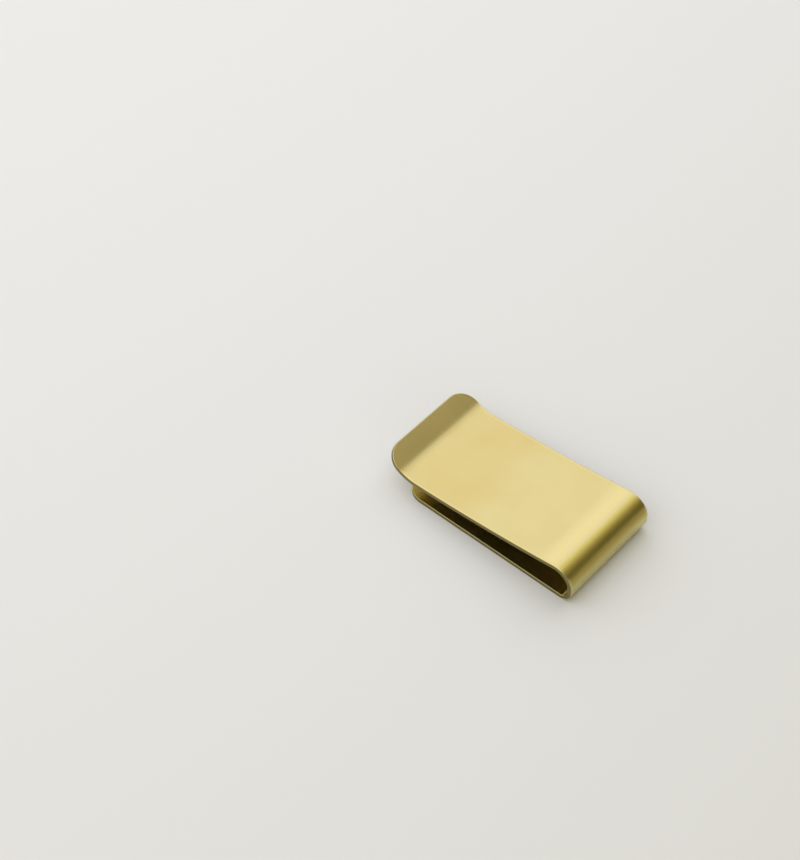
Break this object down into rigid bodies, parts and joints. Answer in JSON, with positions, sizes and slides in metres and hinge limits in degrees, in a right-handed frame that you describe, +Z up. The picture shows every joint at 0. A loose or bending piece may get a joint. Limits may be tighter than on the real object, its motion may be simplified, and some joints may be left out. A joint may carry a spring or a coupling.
{
  "type": "paper clip",
  "caption": "Paper clip folded from one strip of sheet brass: a flat base leg, a rounded fold and a sprung upper leg that ends in a flared lip with rounded corners.",
  "frame": {"origin": "centre of the clip's box, on the surface that the base leg rests on", "axes": "+Z up, out of the base leg's upper face; +X from the lip to the fold, along the legs; +Y across the strip"},
  "size_m": [0.041, 0.021, 0.007],
  "materials": {
    "brass": "satin, fine brushed and lacquered"
  },
  "bodies": {
    "root": {"clip": "brass"}
  },
  "joints": []
}
